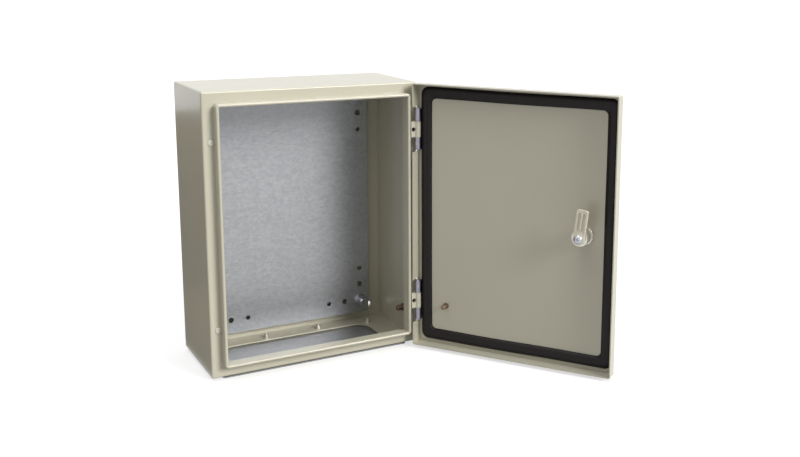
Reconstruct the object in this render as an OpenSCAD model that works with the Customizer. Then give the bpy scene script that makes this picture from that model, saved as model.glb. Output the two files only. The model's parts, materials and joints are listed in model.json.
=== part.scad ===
// Compact sheet-steel wall enclosure, door shown open on its hinges.
// Frame: origin at the centre of the rear wall face, +X to the hinge side, +Z up, the door opens towards -Y.

/* [Case] */
// Width of the case
case_w = 300; // [250:10:400]
// Height of the case
case_h = 380; // [340:10:500]
// Depth of the case without the door
case_d = 135; // [120:5:200]
// Thickness of the case sheet
sheet_t = 1.5; // [1:0.1:2]
// Outer radius of the case bends
bend_r = 2.5; // [2:0.5:4]

/* [Sealing rim] */
// Width of the flat front flange, out to the lip
lip_inset = 15; // [15:0.5:18]
// Height of the lip in front of the flange
lip_h = 13; // [11:0.5:13.5]
// Width of the folded lip
hem_w = 4.5; // [4.5:0.5:6]
// How far the lip's inner leg runs behind the flange's face
lip_leg = 4; // [2:0.5:4]

/* [Door] */
// Gap between the closed door and the flange
door_gap = 1.5; // [1:0.5:2]
// Depth of the door tray
door_depth = 18.5; // [17:0.5:20]
// How much smaller than the case the door is, in width and height
door_margin = 1.5; // [1:0.5:3]
// Opening angle shown
open_deg = 125; // [0:5:130]

/* [Mounting plate] */
// Width of the mounting plate
plate_w = 254; // [200:2:254]
// Height of the mounting plate
plate_h = 355; // [300:5:355]
// Distance of the plate's back from the wall face
plate_back = 10; // [8:1:15]
// Pitch of the spare holes from each fixing stud
plate_pitch = 25; // [20:1:30]

/* [Gland plate] */
// Width of the cut-out in the floor
gland_w = 222; // [200:2:230]
// Depth of the cut-out in the floor
gland_d = 85; // [70:5:85]
// Corner radius of the cut-out
gland_r = 22; // [15:1:30]

/* [Lock] */
// Distance of the lock axis from the door's free edge
lock_inset = 46.5; // [40:0.5:60]
// Length of the cam from the lock axis to its tip
cam_len = 39.5; // [34:0.5:42]
// Width of the cam
cam_w = 16; // [14:0.5:18]

/* [Hidden] */
$fn = 48;

// Finishes
paint = [0.84, 0.83, 0.78];
zinc = [0.72, 0.74, 0.77];
galvanised = [0.68, 0.71, 0.76];
foam = [0.07, 0.07, 0.07];
cast = [0.86, 0.83, 0.74];
copper = [0.55, 0.36, 0.25];
black_steel = [0.14, 0.14, 0.15];

// Faces of the case
front_y = -case_d;
tiny = 0.01;

// Sealing rim
lip_w = case_w - 2 * lip_inset;
lip_tall = case_h - 2 * lip_inset;
lip_corner_r = 5;
hem_r = hem_w / 2;
hem_y = front_y - lip_h + hem_r;
leg_inset = hem_w - sheet_t;

// Rear panel and its wall fixings
wall_pitch_x = case_w - 40;
wall_pitch_z = case_h - 40;
wall_hole_r = 4.25;
wall_collar_r = 8;
wall_collar_h = 2.5;

// Mounting plate and its M8 studs
plate_t = 2;
plate_corner_r = 3;
stud_pitch_x = plate_w - 29;
stud_pitch_z = plate_h - 40;
stud_r = 3.98;
stud_len = 26;
stud_hole_r = 4.5;
spare_hole_r = [4, 3.25];
m8_clear_r = 4.05;

// Floor cut-out and gland plate
gland_y = -case_d / 2 - 7;
gland_seal_t = 2;
gland_t = 1.5;
gland_margin_x = 23;
gland_margin_y = 14.5;
gland_top = -case_h / 2 - gland_seal_t;
gland_corner_x = gland_w / 2 + 4.8;
gland_corner_y = gland_d / 2 - 1.7;
gland_mid_x = 40;
gland_mid_y = gland_d / 2 + 9.5;
m5_r = 2.5;
m5_clear_r = 2.75;

// Earth stud on the hinge-side wall
earth_y = -92;
earth_z = 38 - case_h / 2;

// Door, drawn closed and then turned about the hinge axis
door_w = case_w - door_margin;
door_h = case_h - door_margin;
door_back = front_y - door_gap;
door_front = door_back - door_depth;
skin_in = door_front + sheet_t;

// Hinges: pivot axis, heights and shape
pivot_x = case_w / 2 - 4.2;
pivot_y = front_y - 11.2;
hinge_z = case_h / 2 - 65.5;
barrel_r = 4.2;
pin_r = 2;
pin_run_r = 2.05;
block_half = 11;
leaf_gap = 0.3;
leaf_half = 28.8;
notch_half = 32;
notch_floor = 4.5;
hinge_hole_x = case_w / 2 - 10.8;
pad_h = 12.5;
pad_x = case_w / 2 - lip_inset + 0.7;

// Foam gasket: its distance from each door edge, and its layers
gasket_hinge = 6.5;
gasket_free = 3;
gasket_top = 5;
gasket_bottom = 6.5;
gasket_w = 16.3;
gasket_h = -(skin_in - (front_y - lip_h)) - 0.3;

// Quarter-turn lock
lock_x = -door_w / 2 + lock_inset;
lock_bore_r = 7.05;
lock_core_r = 7;
lock_barrel_r = 11;
lock_flange_r = 16;
lock_flange_h = 3;
cam_y = door_front + 24.4;
cam_t = 3.5;
cam_square = 8;
cam_rest_deg = 7;

// Door earth stud
door_earth_x = door_w / 2 - 45;
door_earth_z = 60 - case_h / 2;

// ---- Shared shapes ----

// A flat outline in X and Z, made solid between two values of Y
module prism_y(y0, y1) {
    translate([0, y1, 0]) rotate([90, 0, 0]) linear_extrude(height = y1 - y0) children();
}

module round_rect(w, h, r) {
    square([w - 2 * r, h], center = true);
    square([w, h - 2 * r], center = true);
    for (i = [-1, 1], j = [-1, 1]) translate([i * (w / 2 - r), j * (h / 2 - r)]) circle(r = r);
}

module round_ring(w, h, r, t) {
    difference() {
        round_rect(w, h, r);
        round_rect(w - 2 * t, h - 2 * t, max(r - t, 0.5));
    }
}

// A block whose front face is at y0 and whose front and side edges are bends of radius r
module bent_block(w, h, y0, y1, r) {
    prism_y(y0 + r, y1) round_rect(w, h, r);
    prism_y(y0, y0 + r + tiny) square([w - 2 * r, h - 2 * r], center = true);
    translate([0, y0 + r, 0]) {
        for (i = [-1, 1]) {
            translate([i * (w / 2 - r), 0, 0]) cylinder(r = r, h = h - 2 * r, center = true);
            translate([0, 0, i * (h / 2 - r)]) rotate([0, 90, 0]) cylinder(r = r, h = w - 2 * r, center = true);
        }
        for (i = [-1, 1], j = [-1, 1]) translate([i * (w / 2 - r), 0, j * (h / 2 - r)]) sphere(r = r);
    }
}

// A tray of sheet, open at the back
module sheet_tray(w, h, y0, y1, r, t) {
    difference() {
        bent_block(w, h, y0, y1, r);
        prism_y(y0 + t, y1 + 1) square([w - 2 * t, h - 2 * t], center = true);
    }
}

// A rod that follows a rounded rectangle in X and Z
module ring_rod(w, h, r, rod_r) {
    for (i = [-1, 1]) {
        translate([i * w / 2, 0, 0]) cylinder(r = rod_r, h = h - 2 * r, center = true);
        translate([0, 0, i * h / 2]) rotate([0, 90, 0]) cylinder(r = rod_r, h = w - 2 * r, center = true);
    }
    for (i = [0, 1], j = [0, 1]) mirror([i, 0, 0]) mirror([0, 0, j])
        translate([w / 2 - r, 0, h / 2 - r]) rotate([90, 0, 0])
            rotate_extrude(angle = 90) translate([r, 0]) circle(r = rod_r);
}

// A cylinder along Y between two values of Y
module rod_y(r, y0, y1) {
    translate([0, y1, 0]) rotate([90, 0, 0]) cylinder(r = r, h = y1 - y0);
}

// A cone along Y, radius r0 at y0 and r1 at y1
module cone_y(r0, r1, y0, y1) {
    translate([0, y1, 0]) rotate([90, 0, 0]) cylinder(r1 = r1, r2 = r0, h = y1 - y0);
}

// A hexagon along Y, across flats af
module hex_y(af, y0, y1) {
    translate([0, y1, 0]) rotate([90, 0, 0]) cylinder(r = af / sqrt(3), h = y1 - y0, $fn = 6);
}

module at_corners(pitch_x, pitch_z) {
    for (i = [-1, 1], j = [-1, 1]) translate([i * pitch_x / 2, 0, j * pitch_z / 2]) children();
}

module at_gland_screws() {
    for (i = [-1, 1], j = [-1, 1]) {
        translate([i * gland_corner_x, gland_y + j * gland_corner_y, 0]) children();
        translate([i * gland_mid_x, gland_y + j * gland_mid_y, 0]) children();
    }
}

// Turns what is drawn on the closed door to the opening angle
module on_door() {
    translate([pivot_x, pivot_y, 0]) rotate([0, 0, open_deg]) translate([-pivot_x, -pivot_y, 0]) children();
}

// ---- Case ----

module case_shell() {
    color(paint) {
        difference() {
            sheet_tray(case_w, case_h, front_y, 0, bend_r, sheet_t);
            prism_y(front_y - 1, front_y + sheet_t + 1) round_rect(lip_w - 2, lip_tall - 2, lip_corner_r - 1);
            for (i = [-1, 1], j = [-1, 1]) translate([i * hinge_hole_x, 0, j * hinge_z])
                rod_y(m5_clear_r, front_y - 1, front_y + sheet_t + 1);
            translate([0, gland_y, -case_h / 2 - 1]) linear_extrude(height = sheet_t + 2)
                round_rect(gland_w, gland_d, gland_r);
            translate([0, 0, -case_h / 2 - 1]) at_gland_screws() cylinder(r = m5_clear_r, h = sheet_t + 2);
        }
        prism_y(hem_y, front_y + sheet_t) round_ring(lip_w, lip_tall, lip_corner_r, sheet_t);
        prism_y(hem_y, front_y + lip_leg)
            round_ring(lip_w - 2 * leg_inset, lip_tall - 2 * leg_inset, lip_corner_r - leg_inset, sheet_t);
        translate([0, hem_y, 0]) ring_rod(lip_w - hem_w, lip_tall - hem_w, lip_corner_r - hem_r, hem_r);
    }
}

module rear_panel() {
    color(paint) difference() {
        union() {
            prism_y(-sheet_t, 0) square([case_w - 2 * sheet_t, case_h - 2 * sheet_t], center = true);
            at_corners(wall_pitch_x, wall_pitch_z)
                cone_y(wall_collar_r - 1.5, wall_collar_r, -sheet_t - wall_collar_h, -sheet_t);
        }
        at_corners(wall_pitch_x, wall_pitch_z) rod_y(wall_hole_r, -sheet_t - wall_collar_h - 1, 1);
    }
}

module mounting_plate() {
    plate_front = -plate_back - plate_t;
    color(galvanised) difference() {
        prism_y(plate_front, -plate_back) round_rect(plate_w, plate_h, plate_corner_r);
        at_corners(stud_pitch_x, stud_pitch_z) rod_y(stud_hole_r, plate_front - 1, 1 - plate_back);
        for (k = [1, 2]) {
            at_corners(stud_pitch_x - 2 * k * plate_pitch, stud_pitch_z)
                rod_y(spare_hole_r[k - 1], plate_front - 1, 1 - plate_back);
            at_corners(stud_pitch_x, stud_pitch_z - 2 * k * plate_pitch)
                rod_y(spare_hole_r[k - 1], plate_front - 1, 1 - plate_back);
        }
    }
}

module plate_studs() {
    color(zinc) at_corners(stud_pitch_x, stud_pitch_z) {
        rod_y(6, -sheet_t - 1, -sheet_t);
        rod_y(stud_r, -stud_len + 1, -sheet_t - 0.5);
        cone_y(stud_r - 1, stud_r, -stud_len, -stud_len + 1);
    }
}

module plate_spacers() {
    color(zinc) at_corners(stud_pitch_x, stud_pitch_z) difference() {
        rod_y(7, -plate_back, -sheet_t - 1);
        rod_y(m8_clear_r, -plate_back - 1, 0);
    }
}

module plate_nuts() {
    seat = -plate_back - plate_t;
    color(zinc) at_corners(stud_pitch_x, stud_pitch_z) difference() {
        union() {
            cone_y(7.6, 8.75, seat - 2.4, seat - 0.8);
            rod_y(8.75, seat - 0.8, seat);
            hex_y(13, seat - 8, seat - 2);
        }
        rod_y(m8_clear_r, seat - 9, seat + 1);
    }
}

// ---- Gland plate under the floor ----

module gland_plate() {
    color(galvanised) difference() {
        translate([0, gland_y, gland_top - gland_t]) linear_extrude(height = gland_t)
            round_rect(gland_w + 2 * gland_margin_x, gland_d + 2 * gland_margin_y, 5);
        translate([0, 0, gland_top - gland_t - tiny]) at_gland_screws() {
            cylinder(r1 = 4.7, r2 = m5_clear_r, h = gland_t + tiny);
            cylinder(r = m5_clear_r, h = gland_t + 1);
        }
    }
}

module gland_gasket() {
    color(foam) difference() {
        translate([0, gland_y, gland_top]) linear_extrude(height = gland_seal_t) difference() {
            round_rect(gland_w + 2 * gland_margin_x - 3, gland_d + 2 * gland_margin_y - 3, 4);
            round_rect(gland_w + 1, gland_d + 1, gland_r + 0.5);
        }
        translate([0, 0, gland_top - 1]) at_gland_screws() cylinder(r = m5_clear_r, h = gland_seal_t + 2);
    }
}

module gland_screws() {
    head_z = gland_top - gland_t + 0.02;
    color(zinc) at_gland_screws() difference() {
        union() {
            translate([0, 0, head_z]) cylinder(r1 = 4.4, r2 = m5_r, h = gland_t - 0.02);
            translate([0, 0, head_z + 1]) cylinder(r = m5_r, h = 11);
        }
        translate([0, 0, head_z - 1]) cylinder(r = 1.7, h = 2.2, $fn = 6);
    }
}

module gland_nuts() {
    color(zinc) translate([0, 0, sheet_t - case_h / 2]) at_gland_screws() difference() {
        union() {
            cylinder(r = 4, h = 4);
            cylinder(r = 4.4, h = 0.8);
        }
        translate([0, 0, -1]) cylinder(r = m5_r + 0.05, h = 6);
    }
}

// ---- Earth stud, hinge-hole plugs ----

module earth_stud() {
    color(copper) translate([case_w / 2 - sheet_t, earth_y, earth_z]) rotate([0, -90, 0]) {
        cylinder(r = 6, h = 1);
        cylinder(r = stud_r, h = 10);
        translate([0, 0, 10]) cylinder(r1 = stud_r, r2 = stud_r - 1, h = 1);
    }
}

module hole_plugs() {
    color(paint) for (j = [-1, 1]) translate([-hinge_hole_x, 0, j * hinge_z]) {
        rod_y(m5_clear_r - 0.05, front_y - 0.5, front_y + sheet_t + 2.5);
        rod_y(4, front_y - 0.8, front_y);
        cone_y(2.8, 4, front_y - 1.5, front_y - 0.8);
    }
}

// ---- Hinges: painted block on the case, zinc leaf on the door ----

module hinge_block() {
    color(paint) difference() {
        union() {
            translate([0, 0, -block_half]) linear_extrude(height = 2 * block_half) {
                translate([pad_x, front_y - pad_h]) square([pivot_x + 0.5 - pad_x, pad_h]);
                translate([pivot_x, front_y - 2]) square([barrel_r, 2]);
                translate([pivot_x, pivot_y]) circle(r = barrel_r);
            }
        }
        translate([pivot_x, pivot_y, -block_half - 1]) cylinder(r = pin_r + 0.01, h = 2 * block_half + 2);
        translate([hinge_hole_x, 0, 0]) {
            rod_y(3, front_y - pad_h - 1, front_y - 5);
            rod_y(m5_clear_r - 0.15, front_y - 6, front_y + 1);
        }
    }
}

module hinge_block_upper() { translate([0, 0, hinge_z]) hinge_block(); }
module hinge_block_lower() { translate([0, 0, -hinge_z]) hinge_block(); }

module hinge_pin() {
    color(zinc) translate([pivot_x, pivot_y, 0]) {
        translate([0, 0, -leaf_half]) cylinder(r = pin_r, h = 2 * leaf_half + 0.6);
        translate([0, 0, -leaf_half - 0.8]) cylinder(r1 = pin_r - 0.6, r2 = pin_r, h = 0.8);
        translate([0, 0, leaf_half + leaf_gap]) cylinder(r = 2.9, h = 1);
        translate([0, 0, leaf_half + leaf_gap + 1]) cylinder(r1 = 2.9, r2 = 1.9, h = 0.7);
    }
}

module hinge_pin_upper() { translate([0, 0, hinge_z]) hinge_pin(); }
module hinge_pin_lower() { translate([0, 0, -hinge_z]) hinge_pin(); }

module hinge_screws() {
    color(black_steel) for (j = [-1, 1]) translate([hinge_hole_x, 0, j * hinge_z]) difference() {
        union() {
            rod_y(m5_r, front_y - 6, front_y + 8);
            rod_y(2.9, front_y - 8.5, front_y - 5);
        }
        hex_y(3, front_y - 9, front_y - 6.5);
    }
}

module hinge_nuts() {
    seat = front_y + sheet_t;
    color(zinc) for (j = [-1, 1]) translate([hinge_hole_x, 0, j * hinge_z]) difference() {
        union() {
            rod_y(5, seat, seat + 1);
            hex_y(8, seat + 0.5, seat + 5);
        }
        rod_y(m5_r + 0.05, seat - 1, seat + 6);
    }
}

// ---- Door ----

module door_panel() {
    notch_y0 = door_front + notch_floor;
    color(paint) on_door() difference() {
        translate([0, 0, 0]) sheet_tray(door_w, door_h, door_front, door_back, bend_r, sheet_t);
        for (j = [-1, 1]) translate([door_w / 2 - 6, notch_y0, j * hinge_z - notch_half])
            cube([12, door_depth, 2 * notch_half]);
        translate([lock_x, 0, 0]) rod_y(lock_barrel_r + 0.25, door_front - 1, skin_in + 1);
    }
}

// One layer of the foam bead, drawn in by inset on both sides
module gasket_layer(inset, y0, y1) {
    outer_w = door_w - gasket_hinge - gasket_free;
    outer_h = door_h - gasket_top - gasket_bottom;
    shift_x = (gasket_free - gasket_hinge) / 2;
    shift_z = (gasket_bottom - gasket_top) / 2;
    translate([shift_x, 0, shift_z]) prism_y(y0, y1) difference() {
        round_rect(outer_w - 2 * inset, outer_h - 2 * inset, 11 - inset);
        round_rect(outer_w - 2 * gasket_w + 2 * inset, outer_h - 2 * gasket_w + 2 * inset, 7 + inset);
    }
}

module door_gasket() {
    layers = [[0, 0.62], [1.2, 0.82], [3, 1]];
    color(foam) on_door() for (layer = layers)
        gasket_layer(layer[0], skin_in, skin_in + gasket_h * layer[1]);
}

module hinge_leaf() {
    foot_x = pivot_x - 2.8;
    color(zinc) on_door() difference() {
        union() {
            translate([foot_x, skin_in, -leaf_half]) cube([4.5, 2, 2 * leaf_half]);
            for (j = [0, 1]) mirror([0, 0, j])
                translate([0, 0, block_half + leaf_gap])
                    linear_extrude(height = leaf_half - block_half - leaf_gap) {
                        translate([foot_x, skin_in]) square([4.5, pivot_y - skin_in]);
                        translate([pivot_x, notch_floor + door_front + 0.3])
                            square([door_w / 2 - pivot_x, pivot_y - door_front - notch_floor - 0.3]);
                        translate([pivot_x, pivot_y]) circle(r = barrel_r);
                    }
        }
        translate([pivot_x, pivot_y, -leaf_half - 1]) cylinder(r = pin_run_r, h = 2 * leaf_half + 2);
    }
}

module hinge_leaf_upper() { translate([0, 0, hinge_z]) hinge_leaf(); }
module hinge_leaf_lower() { translate([0, 0, -hinge_z]) hinge_leaf(); }

module hinge_rivets() {
    color(zinc) on_door() for (j = [-1, 1], k = [-1, 1])
        translate([pivot_x - 0.5, 0, j * hinge_z + k * 6]) {
            rod_y(1.5, skin_in + 2, skin_in + 2.35);
            cone_y(1.5, 0.8, skin_in + 2.35, skin_in + 2.8);
        }
}

module door_earth_stud() {
    color(copper) on_door() translate([door_earth_x, 0, door_earth_z]) {
        rod_y(4.5, skin_in, skin_in + 0.8);
        rod_y(2.98, skin_in, skin_in + 10);
        cone_y(2.98, 2.2, skin_in + 10, skin_in + 10.8);
    }
}

// ---- Lock ----

// The turning parts, at the angle where the cam rests
module on_lock() {
    on_door() translate([lock_x, 0, 0]) rotate([0, -cam_rest_deg, 0]) children();
}

module lock_housing() {
    color(zinc) on_door() translate([lock_x, 0, 0]) difference() {
        union() {
            cone_y(lock_flange_r - 1.2, lock_flange_r, door_front - lock_flange_h, door_front - 1.4);
            rod_y(lock_flange_r, door_front - 1.4, door_front - 0.6);
            rod_y(lock_barrel_r, door_front - 1, cam_y - 1);
        }
        rod_y(lock_bore_r, door_front + 3.05, cam_y);
        rod_y(5.5, door_front - lock_flange_h - 1, door_front + 4);
    }
}

module lock_seal() {
    color(foam) on_door() translate([lock_x, 0, 0]) difference() {
        rod_y(lock_flange_r - 0.6, door_front - 0.6, door_front);
        rod_y(lock_barrel_r + 0.05, door_front - 1, door_front + 1);
    }
}

// Round nut with spanner notches
module lock_nut() {
    nut_r = 13.2;
    nut_h = 5.5;
    color(zinc) on_door() translate([lock_x, 0, 0]) difference() {
        union() {
            rod_y(nut_r, skin_in, skin_in + nut_h - 0.8);
            cone_y(nut_r, nut_r - 0.8, skin_in + nut_h - 0.8, skin_in + nut_h);
        }
        rod_y(lock_barrel_r + 0.05, skin_in - 1, skin_in + nut_h + 1);
        for (a = [0 : 60 : 300]) rotate([0, a, 0]) translate([nut_r - 0.9, skin_in + 1.5, -1.5])
            cube([2, nut_h, 3]);
    }
}

// Turning core: two-wing key post in front, square for the cam behind
module lock_insert() {
    core_front = door_front + 3.1;
    mouth_r = 5.2;
    color(zinc) on_lock() {
        difference() {
            union() {
                rod_y(lock_core_r, core_front, cam_y);
                translate([-cam_square / 2, cam_y - 1, -cam_square / 2])
                    cube([cam_square, cam_t + 0.8, cam_square]);
            }
            rod_y(mouth_r, core_front - 1, core_front + 6);
            rod_y(m5_r, cam_y - 8, cam_y + cam_t + 1);
        }
        rod_y(1.5, core_front - 4.5, core_front + 7);
        translate([-3.7, core_front - 3.5, -0.8]) cube([7.4, 10, 1.6]);
    }
}

module lock_cam() {
    tip_r = 3;
    slot_z = 12;
    plate_top = cam_y + cam_t - 0.4;
    color(cast) on_lock() difference() {
        union() {
            prism_y(cam_y, plate_top) {
                circle(r = cam_w / 2);
                translate([-cam_w / 2, 0]) square([cam_w, cam_len - tip_r]);
                translate([-cam_w / 2 + tip_r, 0]) square([cam_w - 2 * tip_r, cam_len]);
                for (i = [-1, 1]) translate([i * (cam_w / 2 - tip_r), cam_len - tip_r]) circle(r = tip_r);
            }
            rod_y(cam_w / 2 - 0.8, cam_y + 1, cam_y + cam_t);
            for (i = [-1, 0, 1]) translate([i * (cam_w / 2 - 1.6) - 0.8, cam_y + 1, slot_z - 1.4])
                cube([1.6, cam_t - 1, cam_len - slot_z - 3]);
        }
        for (i = [-1, 1]) prism_y(cam_y + 1.4, cam_y + cam_t + 1) {
            translate([i * 3.2 - 1.5, slot_z]) square([3, cam_len - slot_z - 6]);
            translate([i * 3.2, slot_z]) circle(r = 1.5);
            translate([i * 3.2, cam_len - 6]) circle(r = 1.5);
        }
        translate([-cam_square / 2 - 0.05, cam_y - 1, -cam_square / 2 - 0.05])
            cube([cam_square + 0.1, cam_t + 2, cam_square + 0.1]);
    }
}

module lock_cam_washer() {
    color(zinc) on_lock() difference() {
        rod_y(6.2, cam_y + cam_t, cam_y + cam_t + 0.8);
        rod_y(m5_r + 0.1, cam_y + cam_t - 1, cam_y + cam_t + 2);
    }
}

module lock_cam_screw() {
    seat = cam_y + cam_t + 0.8;
    color(zinc) on_lock() {
        rod_y(m5_r - 0.02, cam_y - 7, seat + 0.1);
        difference() {
            union() {
                rod_y(5.6, seat, seat + 1.2);
                cone_y(5.6, 4.9, seat + 1.2, seat + 2.1);
                cone_y(4.9, 3.2, seat + 2.1, seat + 3);
            }
            for (a = [0, 90]) rotate([0, a, 0]) translate([-2.6, seat + 1.2, -0.5]) cube([5.2, 3, 1]);
        }
    }
}

case_shell();
rear_panel();
mounting_plate();
plate_studs();
plate_spacers();
plate_nuts();
gland_plate();
gland_gasket();
gland_screws();
gland_nuts();
earth_stud();
hole_plugs();
hinge_block_upper();
hinge_block_lower();
hinge_pin_upper();
hinge_pin_lower();
hinge_screws();
hinge_nuts();
door_panel();
door_gasket();
hinge_leaf_upper();
hinge_leaf_lower();
hinge_rivets();
door_earth_stud();
lock_housing();
lock_seal();
lock_nut();
lock_insert();
lock_cam();
lock_cam_washer();
lock_cam_screw();
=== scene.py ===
"""Finishes, seal, threads, light and camera for a sheet-steel wall enclosure, stored with its door open."""

from __future__ import annotations

import json
import logging
import math
from dataclasses import dataclass
from enum import Enum
from typing import Sequence

import bmesh
import bpy
from mathutils import Matrix, Vector, noise

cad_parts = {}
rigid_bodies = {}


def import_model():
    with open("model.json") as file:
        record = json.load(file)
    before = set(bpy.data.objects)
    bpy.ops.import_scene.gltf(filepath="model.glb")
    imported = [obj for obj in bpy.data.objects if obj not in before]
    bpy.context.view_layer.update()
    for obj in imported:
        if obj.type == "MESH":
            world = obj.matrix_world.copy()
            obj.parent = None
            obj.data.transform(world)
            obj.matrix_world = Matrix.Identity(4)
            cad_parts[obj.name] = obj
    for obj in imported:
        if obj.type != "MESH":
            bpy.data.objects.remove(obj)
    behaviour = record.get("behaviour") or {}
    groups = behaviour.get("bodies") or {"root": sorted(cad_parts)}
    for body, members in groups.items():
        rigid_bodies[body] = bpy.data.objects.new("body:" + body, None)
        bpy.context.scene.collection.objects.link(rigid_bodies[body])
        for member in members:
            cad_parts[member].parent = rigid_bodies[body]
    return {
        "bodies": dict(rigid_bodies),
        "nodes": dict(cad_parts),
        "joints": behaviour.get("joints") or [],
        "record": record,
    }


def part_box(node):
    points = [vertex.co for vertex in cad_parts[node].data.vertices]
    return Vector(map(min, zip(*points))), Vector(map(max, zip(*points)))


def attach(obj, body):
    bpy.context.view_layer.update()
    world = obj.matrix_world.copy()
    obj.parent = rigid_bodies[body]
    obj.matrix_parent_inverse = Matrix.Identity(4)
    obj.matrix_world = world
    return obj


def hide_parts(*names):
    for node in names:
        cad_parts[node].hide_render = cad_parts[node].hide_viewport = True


LOG = logging.getLogger("enclosure")
MM = 0.001
Colour = tuple[float, float, float]


class Body(Enum):
    """The bodies that pieces ride on."""

    CASE = "case"
    DOOR = "door"
    LOCK = "lock"


# ---------------------------------------------------------------- finishes


class Shader:
    """A material under construction: adds nodes and joins them."""

    def __init__(self, name: str) -> None:
        """Starts a material with one Principled surface.

        Args:
            name: the material's name.
        """
        self.material = bpy.data.materials.new(name)
        self.material.use_nodes = True
        self.tree = self.material.node_tree
        self.surface = self.tree.nodes["Principled BSDF"]
        self.place = self.tree.nodes.new("ShaderNodeTexCoord").outputs["Object"]

    def node(self, kind: str, **settings: object) -> bpy.types.Node:
        """Adds one node.

        Args:
            kind: the node's type name.
            settings: attributes to set on it.

        Returns:
            The new node.
        """
        made = self.tree.nodes.new(kind)
        for key, value in settings.items():
            setattr(made, key, value)
        return made

    def join(self, source: bpy.types.NodeSocket, target: bpy.types.NodeSocket) -> None:
        """Links two sockets."""
        self.tree.links.new(source, target)

    def constants(self, **values: object) -> None:
        """Sets values that are the same all over the surface, on the surface's own sockets."""
        for key, value in values.items():
            socket = self.surface.inputs[key.replace("_", " ")]
            socket.default_value = (*value, 1.0) if isinstance(value, tuple) and len(value) == 3 else value

    def stretched(self, scale: Colour) -> bpy.types.NodeSocket:
        """Object coordinates, scaled by axis.

        Args:
            scale: factor along X, Y and Z.

        Returns:
            The scaled coordinates.
        """
        mapping = self.node("ShaderNodeMapping")
        mapping.inputs["Scale"].default_value = scale
        self.join(self.place, mapping.inputs["Vector"])
        return mapping.outputs["Vector"]

    def noise(
        self, scale: float, detail: float = 2.0, place: bpy.types.NodeSocket | None = None
    ) -> bpy.types.NodeSocket:
        """A noise value.

        Args:
            scale: features per metre.
            detail: octaves.
            place: coordinates, plain object ones if left out.

        Returns:
            The noise, from 0 to 1.
        """
        made = self.node("ShaderNodeTexNoise")
        made.inputs["Scale"].default_value = scale
        made.inputs["Detail"].default_value = detail
        self.join(place or self.place, made.inputs["Vector"])
        return made.outputs["Fac"]

    def spread(
        self, value: bpy.types.NodeSocket, low: float, high: float, to_low: float, to_high: float
    ) -> bpy.types.NodeSocket:
        """Maps one range of a value onto another.

        Args:
            value: the value.
            low: where its range starts.
            high: where its range ends.
            to_low: what low becomes.
            to_high: what high becomes.

        Returns:
            The mapped value.
        """
        made = self.node("ShaderNodeMapRange")
        for key, number in (("From Min", low), ("From Max", high), ("To Min", to_low), ("To Max", to_high)):
            made.inputs[key].default_value = number
        self.join(value, made.inputs["Value"])
        return made.outputs["Result"]

    def tint(self, value: bpy.types.NodeSocket, dark: Colour, light: Colour) -> bpy.types.NodeSocket:
        """A colour between two.

        Args:
            value: where between them, from 0 to 1.
            dark: the colour at 0.
            light: the colour at 1.

        Returns:
            The colour.
        """
        made = self.node("ShaderNodeMix", data_type="RGBA")
        made.inputs[6].default_value = (*dark, 1.0)
        made.inputs[7].default_value = (*light, 1.0)
        self.join(value, made.inputs[0])
        return made.outputs[2]

    def relief(self, heights: Sequence[tuple[bpy.types.NodeSocket, float]], edge: float = 0.0) -> None:
        """Bump from heights, over edges that a bevel softens.

        Args:
            heights: pairs of a height from 0 to 1 and its depth in metres.
            edge: radius that the paint or plating gives an edge, in metres.
        """
        normal = None
        if edge:
            bevel = self.node("ShaderNodeBevel", samples=6)
            bevel.inputs["Radius"].default_value = edge
            normal = bevel.outputs["Normal"]
        for height, depth in heights:
            bump = self.node("ShaderNodeBump")
            bump.inputs["Strength"].default_value = 1.0
            bump.inputs["Distance"].default_value = depth
            self.join(height, bump.inputs["Height"])
            if normal:
                self.join(normal, bump.inputs["Normal"])
            normal = bump.outputs["Normal"]
        if normal:
            self.join(normal, self.surface.inputs["Normal"])


@dataclass(frozen=True)
class PowderCoat:
    """Gloss powder coat with a faint orange peel."""

    name: str = "powder_coat"
    dark: Colour = (0.465, 0.448, 0.362)
    light: Colour = (0.495, 0.478, 0.388)
    roughness: float = 0.3
    peel: float = 0.000004

    def material(self) -> bpy.types.Material:
        """Builds the finish."""
        shader = Shader(self.name)
        cloud = shader.noise(14.0, 3.0)
        shader.join(shader.tint(cloud, self.dark, self.light), shader.surface.inputs["Base Color"])
        haze = shader.spread(shader.noise(30.0, 3.0), 0.3, 0.7, self.roughness - 0.02, self.roughness + 0.02)
        shader.join(haze, shader.surface.inputs["Roughness"])
        shader.constants(Coat_Weight=0.25, Coat_Roughness=0.15, IOR=1.5)
        shader.relief([(shader.noise(420.0, 1.0), self.peel)])
        return shader.material


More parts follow.
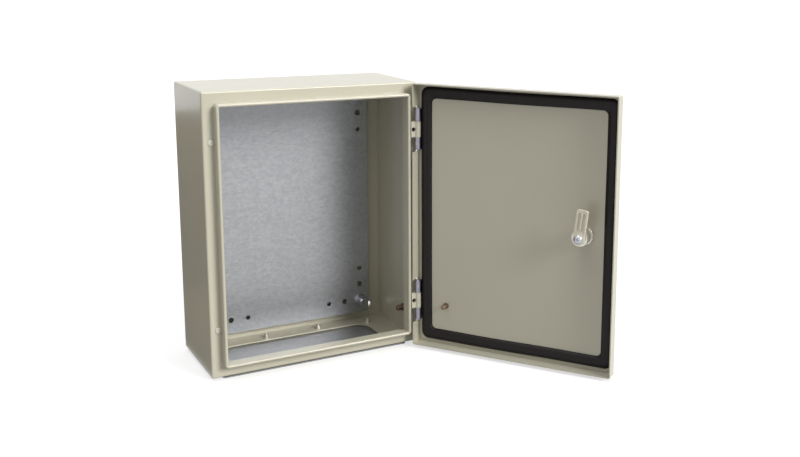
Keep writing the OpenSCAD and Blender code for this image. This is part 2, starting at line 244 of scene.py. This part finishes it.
@dataclass(frozen=True)
class GalvanisedSheet:
    """Galvanised steel: fine rolled streaks, soft spangle."""

    name: str = "galvanised_sheet"
    dark: Colour = (0.27, 0.278, 0.295)
    light: Colour = (0.375, 0.385, 0.405)

    def material(self) -> bpy.types.Material:
        """Builds the finish."""
        shader = Shader(self.name)
        cells = shader.node("ShaderNodeTexVoronoi", feature="F1")
        cells.inputs["Scale"].default_value = 260.0
        shader.join(shader.place, cells.inputs["Vector"])
        split = shader.node("ShaderNodeSeparateColor")
        shader.join(cells.outputs["Color"], split.inputs["Color"])
        streaks = shader.noise(1.0, 4.0, shader.stretched((70.0, 300.0, 1100.0)))
        blend = shader.node("ShaderNodeMath", operation="MULTIPLY_ADD")
        blend.inputs[1].default_value = 0.45
        shader.join(split.outputs["Red"], blend.inputs[0])
        shader.join(shader.spread(streaks, 0.25, 0.75, 0.0, 0.55), blend.inputs[2])
        shader.join(shader.tint(blend.outputs["Value"], self.dark, self.light), shader.surface.inputs["Base Color"])
        shader.join(shader.spread(blend.outputs["Value"], 0.0, 1.0, 0.34, 0.46), shader.surface.inputs["Roughness"])
        shader.constants(Metallic=0.72)
        shader.relief([(streaks, 0.00001), (split.outputs["Green"], 0.000004)])
        return shader.material


@dataclass(frozen=True)
class PlatedMetal:
    """Bright plating with small pits and handling marks."""

    name: str
    dark: Colour
    light: Colour
    roughness: float = 0.26

    def material(self) -> bpy.types.Material:
        """Builds the finish."""
        shader = Shader(self.name)
        cloud = shader.noise(180.0, 4.0)
        shade = shader.spread(cloud, 0.3, 0.7, 0.0, 1.0)
        shader.join(shader.tint(shade, self.dark, self.light), shader.surface.inputs["Base Color"])
        haze = shader.spread(cloud, 0.3, 0.7, self.roughness + 0.08, self.roughness - 0.04)
        shader.join(haze, shader.surface.inputs["Roughness"])
        shader.constants(Metallic=1.0)
        shader.relief([(shader.noise(1600.0, 2.0), 0.00001)], edge=0.0003)
        return shader.material


@dataclass(frozen=True)
class FoamSkin:
    """Skin of a foamed seal: black, soft, with fine pores."""

    name: str = "foam_skin"
    dark: Colour = (0.005, 0.0038, 0.0036)
    light: Colour = (0.011, 0.0088, 0.0088)

    def material(self) -> bpy.types.Material:
        """Builds the finish."""
        shader = Shader(self.name)
        shader.join(shader.tint(shader.noise(500.0, 4.0), self.dark, self.light), shader.surface.inputs["Base Color"])
        shader.join(shader.spread(shader.noise(90.0, 3.0), 0.3, 0.7, 0.36, 0.5), shader.surface.inputs["Roughness"])
        shader.constants(Specular_IOR_Level=0.2)
        shader.relief([(shader.noise(900.0, 3.0), 0.00006), (shader.noise(60.0, 2.0), 0.00015)])
        return shader.material


@dataclass(frozen=True)
class CastOrMoulded:
    """Satin casting or moulding, slightly uneven."""

    name: str
    dark: Colour
    light: Colour
    roughness: float = 0.38

    def material(self) -> bpy.types.Material:
        """Builds the finish."""
        shader = Shader(self.name)
        shader.join(shader.tint(shader.noise(260.0, 3.0), self.dark, self.light), shader.surface.inputs["Base Color"])
        haze = shader.spread(shader.noise(500.0, 3.0), 0.3, 0.7, self.roughness - 0.05, self.roughness + 0.07)
        shader.join(haze, shader.surface.inputs["Roughness"])
        shader.relief([(shader.noise(800.0, 3.0), 0.00003)], edge=0.0004)
        return shader.material


class Finish(Enum):
    """The finishes, by the record's material slot, and three that single nodes have of their own; one of these three
    is the zinc plating made darker as painted shade.
    """

    PAINT = "paint"
    GALVANISED = "galvanised"
    ZINC = "zinc"
    SATIN_ZINC = "satin_zinc"
    HINGE_ZINC_PAINTED_SHADE = "hinge_zinc"
    GLAND_SEAL = "gland_seal"
    COPPER = "copper"
    BLACK_STEEL = "black_steel"
    FOAM = "foam"
    CAST = "cast"
    PLUG = "plug"


RECIPES = {
    Finish.PAINT: PowderCoat(),
    Finish.GALVANISED: GalvanisedSheet(),
    Finish.ZINC: PlatedMetal("zinc_plate", (0.36, 0.38, 0.42), (0.50, 0.52, 0.56)),
    Finish.SATIN_ZINC: PlatedMetal("satin_zinc", (0.56, 0.545, 0.49), (0.66, 0.645, 0.585), 0.44),
    # the zinc plating made darker and bluer for the hinge leaves: painted shade
    Finish.HINGE_ZINC_PAINTED_SHADE: PlatedMetal("hinge_zinc", (0.20, 0.195, 0.24), (0.32, 0.315, 0.37), 0.38),
    Finish.GLAND_SEAL: CastOrMoulded("gland_seal", (0.10, 0.094, 0.066), (0.16, 0.15, 0.11), 0.6),
    Finish.BLACK_STEEL: PlatedMetal("black_oxide", (0.02, 0.02, 0.022), (0.05, 0.05, 0.055), 0.4),
    Finish.COPPER: PlatedMetal("copper_flash", (0.16, 0.115, 0.085), (0.27, 0.19, 0.14), 0.42),
    Finish.FOAM: FoamSkin(),
    Finish.CAST: CastOrMoulded("cream_casting", (0.62, 0.59, 0.49), (0.70, 0.67, 0.57)),
    Finish.PLUG: CastOrMoulded("moulded_plug", (0.58, 0.57, 0.50), (0.64, 0.63, 0.56), 0.45),
}


OWN_FINISH = {
    "lock_housing": Finish.SATIN_ZINC,
    "lock_nut": Finish.SATIN_ZINC,
    "lock_cam_washer": Finish.SATIN_ZINC,
    "gland_screws": Finish.SATIN_ZINC,
    "gland_nuts": Finish.SATIN_ZINC,
    # the hinge leaves take the zinc plating darkened as painted shade
    "hinge_leaf_upper": Finish.HINGE_ZINC_PAINTED_SHADE,
    "hinge_leaf_lower": Finish.HINGE_ZINC_PAINTED_SHADE,
    "gland_gasket": Finish.GLAND_SEAL,
}


class Palette:
    """Makes each finish once and hands it out."""

    def __init__(self) -> None:
        """Starts with nothing mixed."""
        self.mixed: dict[Finish, bpy.types.Material] = {}

    def get(self, finish: Finish) -> bpy.types.Material:
        """The material of one finish.

        Args:
            finish: which finish.

        Returns:
            Its material.
        """
        if finish not in self.mixed:
            self.mixed[finish] = RECIPES[finish].material()
        return self.mixed[finish]


# ---------------------------------------------------------------- frame


@dataclass
class Frame:
    """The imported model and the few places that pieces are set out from."""

    packed: dict

    def joint(self, name: str) -> dict:
        """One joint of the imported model.

        Args:
            name: the joint's name.

        Returns:
            The joint as the record states it.
        """
        return next(j for j in self.packed["joints"] if j["name"] == name)

    def door_open(self) -> Matrix:
        """Where the closed door's pieces go when the door stands as stored."""
        hinge = self.joint("door_hinge")
        pivot = Vector(hinge["pos_m"])
        turn = Matrix.Rotation(math.radians(-hinge["range_deg"][0]), 4, Vector(hinge["axis"]))
        return Matrix.Translation(pivot) @ turn @ Matrix.Translation(-pivot)

    def dress(self, palette: Palette) -> None:
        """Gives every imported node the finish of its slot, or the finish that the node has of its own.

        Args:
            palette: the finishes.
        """
        slots = {part["node"]: part["material_slot"] for part in self.packed["record"]["subparts"]}
        for name, piece in self.packed["nodes"].items():
            material = palette.get(OWN_FINISH.get(name) or Finish(slots[name]))
            piece.data.materials.clear()
            piece.data.materials.append(material)
            LOG.info("dressed %s in %s", name, material.name)


def finish_piece(piece: bpy.types.Object, body: Body, replaced: Sequence[str] = ()) -> None:
    """Hangs a finished piece on the body it moves with and hides the nodes it stands for.

    Args:
        piece: the piece, in place.
        body: the body it moves with.
        replaced: nodes it stands for.
    """
    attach(piece, body.value)
    if replaced:
        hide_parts(*replaced)
    LOG.info("made %s on %s", piece.name, body.value)


def mesh_piece(
    name: str, shape: bmesh.types.BMesh, material: bpy.types.Material, smooth: bool = True
) -> bpy.types.Object:
    """Turns an edit mesh into a piece at the origin.

    Args:
        name: the piece's name.
        shape: its mesh, which is freed.
        material: its finish.
        smooth: whether its faces shade smoothly.

    Returns:
        The piece.
    """
    data = bpy.data.meshes.new(name)
    shape.to_mesh(data)
    shape.free()
    data.materials.append(material)
    for face in data.polygons:
        face.use_smooth = smooth
    piece = bpy.data.objects.new(name, data)
    bpy.context.scene.collection.objects.link(piece)
    return piece


# ---------------------------------------------------------------- seal


@dataclass
class DoorSeal:
    """The foamed seal: a soft bead laid round the door, marked where the lip presses it."""

    door_w: float = 298.5 * MM
    door_h: float = 378.5 * MM
    hinge_side: float = 6.5 * MM
    free_side: float = 3.0 * MM
    top: float = 5.0 * MM
    bottom: float = 6.5 * MM
    width: float = 16.3 * MM
    height: float = 5.1 * MM
    base_y: float = -153.5 * MM
    outer_r: float = 11.0 * MM
    inner_r: float = 7.0 * MM
    lip_line: float = 16.5 * MM
    step: float = 4.0 * MM
    across: int = 20

    def stations(self) -> list[tuple[Vector, Vector, float]]:
        """Outer and inner edge point at each step round the bead, with how far in the lip presses there.

        Returns:
            Outer point, inner point, and the share of the width at which the lip presses.
        """
        left, right = -self.door_w / 2 + self.free_side, self.door_w / 2 - self.hinge_side
        low, high = -self.door_h / 2 + self.bottom, self.door_h / 2 - self.top
        corners = [
            (Vector((right, high)), 0.0, self.top, self.hinge_side),
            (Vector((left, high)), 90.0, self.free_side, self.top),
            (Vector((left, low)), 180.0, self.bottom, self.free_side),
            (Vector((right, low)), 270.0, self.hinge_side, self.bottom),
        ]
        made: list[tuple[Vector, Vector, float]] = []
        for corner, start, after, before in corners:
            sign = Vector((math.copysign(1, corner.x), math.copysign(1, corner.y)))
            outer_c = corner - sign * self.outer_r
            inner_c = corner - sign * (self.width + self.inner_r)
            for k in range(9):
                angle = math.radians(start + 90.0 * k / 8)
                ray = Vector((math.cos(angle), math.sin(angle)))
                edge = before + (after - before) * k / 8
                press = (self.lip_line - edge) / self.width
                made.append((outer_c + ray * self.outer_r, inner_c + ray * self.inner_r, press))
        return self.filled(made)

    def filled(self, turns: list[tuple[Vector, Vector, float]]) -> list[tuple[Vector, Vector, float]]:
        """Adds steps along the straight runs.

        Args:
            turns: the stations of the four corners.

        Returns:
            The stations of the whole bead.
        """
        whole: list[tuple[Vector, Vector, float]] = []
        for k, (outer, inner, press) in enumerate(turns):
            whole.append((outer, inner, press))
            next_outer, next_inner, next_press = turns[(k + 1) % len(turns)]
            count = int((next_outer - outer).length / self.step)
            for m in range(1, count):
                share = m / count
                between = press + (next_press - press) * share
                whole.append((outer.lerp(next_outer, share), inner.lerp(next_inner, share), between))
        return whole

    def profile(self, share: float, press: float) -> float:
        """Height of the bead's surface.

        Args:
            share: place across the bead, 0 outside to 1 inside.
            press: where the lip presses.

        Returns:
            The height, from 0 to 1.
        """
        dome = max(0.0, 1.0 - abs(2 * share - 1) ** 2.6) ** 0.55
        mark = math.exp(-(((share - press) / 0.13) ** 2))
        return dome * (1.0 - 0.13 * mark)

    def build(self, frame: Frame, palette: Palette) -> bpy.types.Object:
        """Makes the bead.

        Args:
            frame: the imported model.
            palette: the finishes.

        Returns:
            The piece.
        """
        shape = bmesh.new()
        rings: list[list[bmesh.types.BMVert]] = []
        for outer, inner, press in self.stations():
            place = Vector((outer.x, outer.y, 0.0))
            sway = noise.noise(place * 9.0) * 0.7 * MM
            swell = 0.97 + 0.05 * noise.noise(place * 14.0 + Vector((3.0, 1.0, 7.0)))
            inward = (inner - outer).normalized()
            ring = []
            for k in range(self.across + 1):
                share = (1 - math.cos(math.pi * k / self.across)) / 2
                point = outer.lerp(inner, share) + inward * sway
                rise = self.profile(share, press) * self.height * min(swell, 1.0)
                ring.append(shape.verts.new((point.x, self.base_y + rise, point.y)))
            rings.append(ring)
        for a, b in zip(rings, rings[1:] + rings[:1]):
            for k in range(self.across):
                shape.faces.new((a[k], a[k + 1], b[k + 1], b[k]))
            shape.faces.new((a[self.across], a[0], b[0], b[self.across]))
        bmesh.ops.recalc_face_normals(shape, faces=shape.faces)
        bmesh.ops.transform(shape, matrix=frame.door_open(), verts=shape.verts)
        return mesh_piece("door_seal_bead", shape, palette.get(Finish.FOAM))


# ---------------------------------------------------------------- threads


@dataclass(frozen=True)
class ThreadedEnd:
    """A stud's bare thread: where it starts, which way it points, and its sizes in metres."""

    start: tuple[float, float, float]
    along: tuple[float, float, float]
    radius: float
    length: float
    pitch: float


class ThreadTree:
    """A Geometry Nodes tree that winds one thread ridge on each point it is given."""

    def __init__(self, name: str) -> None:
        """Builds the tree.

        Args:
            name: the tree's name.
        """
        self.group = bpy.data.node_groups.new(name, "GeometryNodeTree")
        face = self.group.interface
        face.new_socket("Geometry", in_out="INPUT", socket_type="NodeSocketGeometry")
        self.inputs = {
            label: face.new_socket(label, in_out="INPUT", socket_type=kind)
            for label, kind in (("Radius", "NodeSocketFloat"), ("Pitch", "NodeSocketFloat"),
                                ("Length", "NodeSocketFloat"), ("Depth", "NodeSocketFloat"),
                                ("Finish", "NodeSocketMaterial"))
        }
        face.new_socket("Geometry", in_out="OUTPUT", socket_type="NodeSocketGeometry")
        self.wire()

    def wire(self) -> None:
        """Adds and joins the nodes."""
        nodes, links = self.group.nodes, self.group.links
        given, result = nodes.new("NodeGroupInput"), nodes.new("NodeGroupOutput")
        turns = nodes.new("ShaderNodeMath")
        turns.operation = "DIVIDE"
        links.new(given.outputs["Length"], turns.inputs[0])
        links.new(given.outputs["Pitch"], turns.inputs[1])
        helix = nodes.new("GeometryNodeCurveSpiral")
        helix.inputs["Resolution"].default_value = 28
        links.new(turns.outputs[0], helix.inputs["Rotations"])
        links.new(given.outputs["Radius"], helix.inputs["Start Radius"])
        links.new(given.outputs["Radius"], helix.inputs["End Radius"])
        links.new(given.outputs["Length"], helix.inputs["Height"])
        ridge = nodes.new("GeometryNodeCurvePrimitiveCircle")
        ridge.inputs["Resolution"].default_value = 6
        links.new(given.outputs["Depth"], ridge.inputs["Radius"])
        swept = nodes.new("GeometryNodeCurveToMesh")
        swept.inputs["Fill Caps"].default_value = True
        links.new(helix.outputs["Curve"], swept.inputs["Curve"])
        links.new(ridge.outputs["Curve"], swept.inputs["Profile Curve"])
        turn = nodes.new("FunctionNodeAlignRotationToVector")
        turn.axis = "Z"
        direction = nodes.new("GeometryNodeInputNamedAttribute")
        direction.data_type = "FLOAT_VECTOR"
        direction.inputs["Name"].default_value = "along"
        links.new(direction.outputs["Attribute"], turn.inputs["Vector"])
        placed = nodes.new("GeometryNodeInstanceOnPoints")
        links.new(given.outputs["Geometry"], placed.inputs["Points"])
        links.new(swept.outputs["Mesh"], placed.inputs["Instance"])
        links.new(turn.outputs["Rotation"], placed.inputs["Rotation"])
        real = nodes.new("GeometryNodeRealizeInstances")
        links.new(placed.outputs["Instances"], real.inputs["Geometry"])
        dressed = nodes.new("GeometryNodeSetMaterial")
        links.new(real.outputs["Geometry"], dressed.inputs["Geometry"])
        links.new(given.outputs["Finish"], dressed.inputs["Material"])
        links.new(dressed.outputs["Geometry"], result.inputs["Geometry"])

    def run(self, name: str, ends: Sequence[ThreadedEnd], material: bpy.types.Material) -> bpy.types.Object:
        """Winds the threads of several like studs and returns them as one plain piece.

        Args:
            name: the piece's name.
            ends: the studs' ends, all of one size.
            material: their finish.

        Returns:
            The piece.
        """
        seed = bpy.data.meshes.new(name + "_points")
        seed.from_pydata([end.start for end in ends], [], [])
        along = seed.attributes.new("along", "FLOAT_VECTOR", "POINT")
        for item, end in zip(along.data, ends):
            item.vector = end.along
        carrier = bpy.data.objects.new(name + "_points", seed)
        bpy.context.scene.collection.objects.link(carrier)
        modifier = carrier.modifiers.new("threads", "NODES")
        modifier.node_group = self.group
        first = ends[0]
        for label, value in (("Radius", first.radius), ("Pitch", first.pitch), ("Length", first.length),
                             ("Depth", first.pitch * 0.27), ("Finish", material)):
            modifier[self.inputs[label].identifier] = value
        graph = bpy.context.evaluated_depsgraph_get()
        data = bpy.data.meshes.new_from_object(carrier.evaluated_get(graph), depsgraph=graph)
        bpy.data.objects.remove(carrier)
        piece = bpy.data.objects.new(name, data)
        data.name = name
        bpy.context.scene.collection.objects.link(piece)
        for face in data.polygons:
            face.use_smooth = True
        return piece


# ---------------------------------------------------------------- studio


@dataclass
class Studio:
    """Pale floor, soft light, plain world and the camera."""

    floor_z: float = -0.1942
    eye: tuple[float, float, float] = (-0.48261, -1.41417, 0.34651)
    yaw: float = 0.5466
    pitch: float = 0.18534
    roll: float = 0.01378
    focal_px: float = 1020.44
    centre_px: tuple[float, float] = (504.52, 160.0)
    frame_px: tuple[float, float] = (800.0, 457.0)
    card_x: tuple[float, float] = (-1.6, -0.155)
    card_y: tuple[float, float] = (-0.12, 0.28)
    card_top: float = 0.11

    def camera(self) -> None:
        """Sets the camera at the viewing angle."""
        data = bpy.data.cameras.new("camera")
        data.sensor_width = 36.0
        data.lens = self.focal_px / self.frame_px[0] * data.sensor_width
        data.shift_x = (self.frame_px[0] / 2 - self.centre_px[0]) / self.frame_px[0]
        data.shift_y = (self.centre_px[1] - self.frame_px[1] / 2) / self.frame_px[0]
        data.clip_start, data.clip_end = 0.05, 120.0
        camera = bpy.data.objects.new("camera", data)
        turn = Matrix.Rotation(-self.yaw, 4, "Z") @ Matrix.Rotation(math.pi / 2 - self.pitch, 4, "X")
        camera.matrix_world = Matrix.Translation(self.eye) @ turn @ Matrix.Rotation(self.roll, 4, "Z")
        bpy.context.scene.collection.objects.link(camera)
        bpy.context.scene.camera = camera

    def lamp(
        self, name: str, towards: Colour, strength: float, spread: float, tint: Colour = (1.0, 1.0, 1.0)
    ) -> None:
        """Adds one soft, even light.

        Args:
            name: its name.
            towards: the direction to it from the object.
            strength: its strength.
            spread: how wide it looks from the object, in degrees.
            tint: its colour.
        """
        data = bpy.data.lights.new(name, "SUN")
        data.energy = strength
        data.angle = math.radians(spread)
        data.color = tint
        lamp = bpy.data.objects.new(name, data)
        lamp.rotation_euler = Vector(towards).to_track_quat("Z", "Y").to_euler()
        bpy.context.scene.collection.objects.link(lamp)

    def seen_plainly(self, tree: bpy.types.NodeTree) -> bpy.types.NodeSocket:
        """A value that is 1 for what the camera sees directly, in gloss or through glass."""
        path = tree.nodes.new("ShaderNodeLightPath")
        total = None
        for label in ("Is Camera Ray", "Is Glossy Ray", "Is Transmission Ray"):
            if total is None:
                total = path.outputs[label]
                continue
            both = tree.nodes.new("ShaderNodeMath")
            both.operation = "MAXIMUM"
            tree.links.new(total, both.inputs[0])
            tree.links.new(path.outputs[label], both.inputs[1])
            total = both.outputs[0]
        return total

    def world(self) -> None:
        """Sets a plain world: white where it is seen, softer as light."""
        world = bpy.data.worlds.new("studio_world")
        world.use_nodes = True
        bpy.context.scene.world = world
        tree = world.node_tree
        soft = tree.nodes["Background"]
        soft.inputs["Color"].default_value = (0.96, 0.98, 1.0, 1.0)
        soft.inputs["Strength"].default_value = 0.3
        seen = tree.nodes.new("ShaderNodeBackground")
        seen.inputs["Color"].default_value = (1.0, 1.0, 1.0, 1.0)
        seen.inputs["Strength"].default_value = 1.0
        mix = tree.nodes.new("ShaderNodeMixShader")
        tree.links.new(self.seen_plainly(tree), mix.inputs[0])
        tree.links.new(soft.outputs[0], mix.inputs[1])
        tree.links.new(seen.outputs[0], mix.inputs[2])
        tree.links.new(mix.outputs[0], tree.nodes["World Output"].inputs["Surface"])

    def floor(self) -> None:
        """Lays a pale floor that keeps the object's shadow."""
        shape = bmesh.new()
        bmesh.ops.create_grid(shape, x_segments=1, y_segments=1, size=60.0)
        bmesh.ops.translate(shape, vec=(0.0, 0.0, self.floor_z), verts=shape.verts)
        material = bpy.data.materials.new("pale_floor")
        material.use_nodes = True
        tree = material.node_tree
        tree.nodes.remove(tree.nodes["Principled BSDF"])
        plain, seen = tree.nodes.new("ShaderNodeBsdfDiffuse"), tree.nodes.new("ShaderNodeBsdfDiffuse")
        plain.inputs["Color"].default_value = (0.34, 0.335, 0.32, 1.0)
        seen.inputs["Color"].default_value = (0.42, 0.42, 0.42, 1.0)
        white = tree.nodes.new("ShaderNodeEmission")
        white.inputs["Color"].default_value = (1.0, 1.0, 1.0, 1.0)
        white.inputs["Strength"].default_value = 0.62
        both, mix = tree.nodes.new("ShaderNodeAddShader"), tree.nodes.new("ShaderNodeMixShader")
        tree.links.new(seen.outputs[0], both.inputs[0])
        tree.links.new(white.outputs[0], both.inputs[1])
        tree.links.new(self.seen_plainly(tree), mix.inputs[0])
        tree.links.new(plain.outputs[0], mix.inputs[1])
        tree.links.new(both.outputs[0], mix.inputs[2])
        tree.links.new(mix.outputs[0], tree.nodes["Material Output"].inputs["Surface"])
        mesh_piece("floor", shape, material, smooth=False)

    def card(self) -> None:
        """Stands a dark card beside and behind the case; only gloss shows it, which gives that side its depth."""
        shape = bmesh.new()
        (left, right), (near, far), low, high = self.card_x, self.card_y, self.floor_z + 2 * MM, self.card_top
        lying = [(left, near, low), (right, near, low), (right, far, low), (left, far, low)]
        standing = [(left, far, low), (right, far, low), (right, far, high), (left, far, high)]
        for corners in (lying, standing):
            shape.faces.new([shape.verts.new(corner) for corner in corners])
        material = bpy.data.materials.new("dark_card")
        material.use_nodes = True
        surface = material.node_tree.nodes["Principled BSDF"]
        surface.inputs["Base Color"].default_value = (0.10, 0.075, 0.05, 1.0)
        surface.inputs["Roughness"].default_value = 0.9
        card = mesh_piece("dark_card", shape, material, smooth=False)
        card.visible_camera = card.visible_diffuse = card.visible_shadow = False

    def build(self) -> None:
        """Sets up the whole studio."""
        self.camera()
        self.world()
        self.floor()
        self.card()
        self.lamp("key", (0.42, -0.80, 0.44), 3.1, 26.0, (1.0, 0.98, 0.94))
        self.lamp("fill", (-0.62, -0.50, 0.60), 0.36, 70.0, (1.0, 0.92, 0.80))
        self.lamp("overhead", (-0.1, 0.1, 1.0), 1.9, 60.0, (0.97, 0.98, 1.0))
        bpy.context.scene.view_settings.view_transform = "Standard"


# ---------------------------------------------------------------- assembly


@dataclass
class StudThreads:
    """The bare threads of the plate studs and the two earth studs."""

    m8_pitch: float = 1.25 * MM
    m6_pitch: float = 1.0 * MM
    plate_pitch: tuple[float, float] = (225.0 * MM, 315.0 * MM)

    def build(self, frame: Frame, palette: Palette) -> None:
        """Winds every thread.

        Args:
            frame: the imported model.
            palette: the finishes.
        """
        tree = ThreadTree("thread_ridge")
        half_x, half_z = self.plate_pitch[0] / 2, self.plate_pitch[1] / 2
        plate = [
            ThreadedEnd((x, -0.0202, z), (0, -1, 0), 3.86 * MM, 4.6 * MM, self.m8_pitch)
            for x in (-half_x, half_x)
            for z in (-half_z, half_z)
        ]
        finish_piece(tree.run("plate_stud_threads", plate, palette.get(Finish.ZINC)), Body.CASE)
        low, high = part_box("earth_stud")
        middle = (Vector(low) + Vector(high)) / 2
        root = (high[0] - 1.6 * MM, middle.y, middle.z)
        earth = [ThreadedEnd(root, (-1, 0, 0), 3.86 * MM, 8.2 * MM, self.m8_pitch)]
        finish_piece(tree.run("earth_stud_thread", earth, palette.get(Finish.COPPER)), Body.CASE)
        turn = frame.door_open()
        start = turn @ Vector((104.25 * MM, -152.2 * MM, -130.0 * MM))
        along = turn.to_3x3() @ Vector((0, 1, 0))
        door = [ThreadedEnd(tuple(start), tuple(along), 2.88 * MM, 8.3 * MM, self.m6_pitch)]
        finish_piece(tree.run("door_earth_stud_thread", door, palette.get(Finish.COPPER)), Body.DOOR)


def main() -> None:
    """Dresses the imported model, adds the pieces and sets up the studio."""
    logging.basicConfig(level=logging.INFO, format="%(name)s: %(message)s")
    frame = Frame(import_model())
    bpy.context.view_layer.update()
    palette = Palette()
    Studio().build()
    frame.dress(palette)
    seal = DoorSeal().build(frame, palette)
    finish_piece(seal, Body.DOOR, ["door_gasket"])
    StudThreads().build(frame, palette)


if __name__ == "__main__":
    main()
